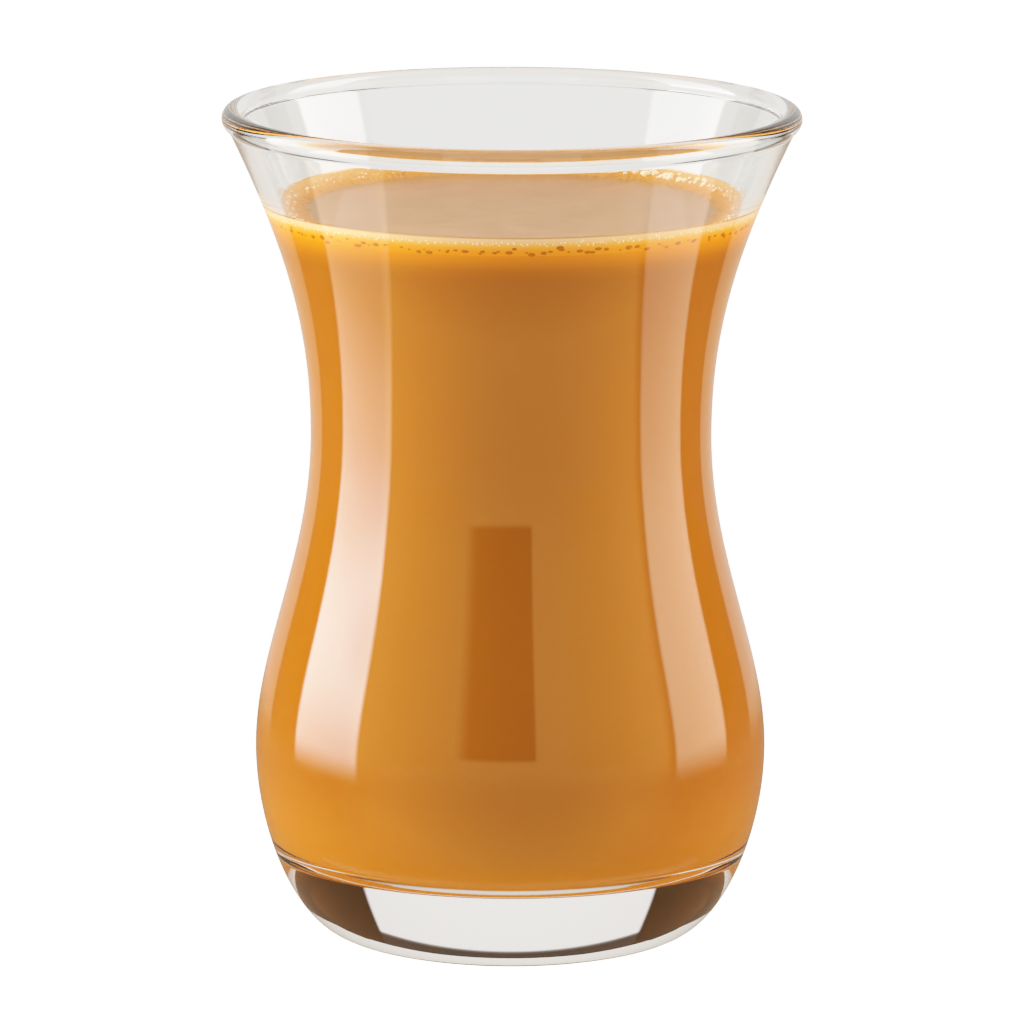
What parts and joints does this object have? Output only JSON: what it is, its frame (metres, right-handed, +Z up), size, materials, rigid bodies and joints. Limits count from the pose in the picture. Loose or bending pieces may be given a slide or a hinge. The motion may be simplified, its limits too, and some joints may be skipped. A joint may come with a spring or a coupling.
{
  "type": "masala chai in a tea glass",
  "caption": "Waisted clear tea glass with a thick base, filled with milky spiced chai that has a thin collar of froth at the wall.",
  "frame": {"origin": "centre of the foot on the table, at the bottom centre of the box", "axes": "+Z up along the axis that the glass is turned about; +X and +Y are free, as the glass and its contents are round"},
  "size_m": [0.07, 0.07, 0.1013],
  "materials": {
    "clear_glass": "clear, fire-polished soda-lime glass",
    "milky_chai": "opaque milky tea with a wet surface",
    "milk_froth": "fine wet milk bubbles"
  },
  "bodies": {
    "root": {"glass": "clear_glass", "chai": "milky_chai", "froth": "milk_froth"}
  },
  "joints": []
}
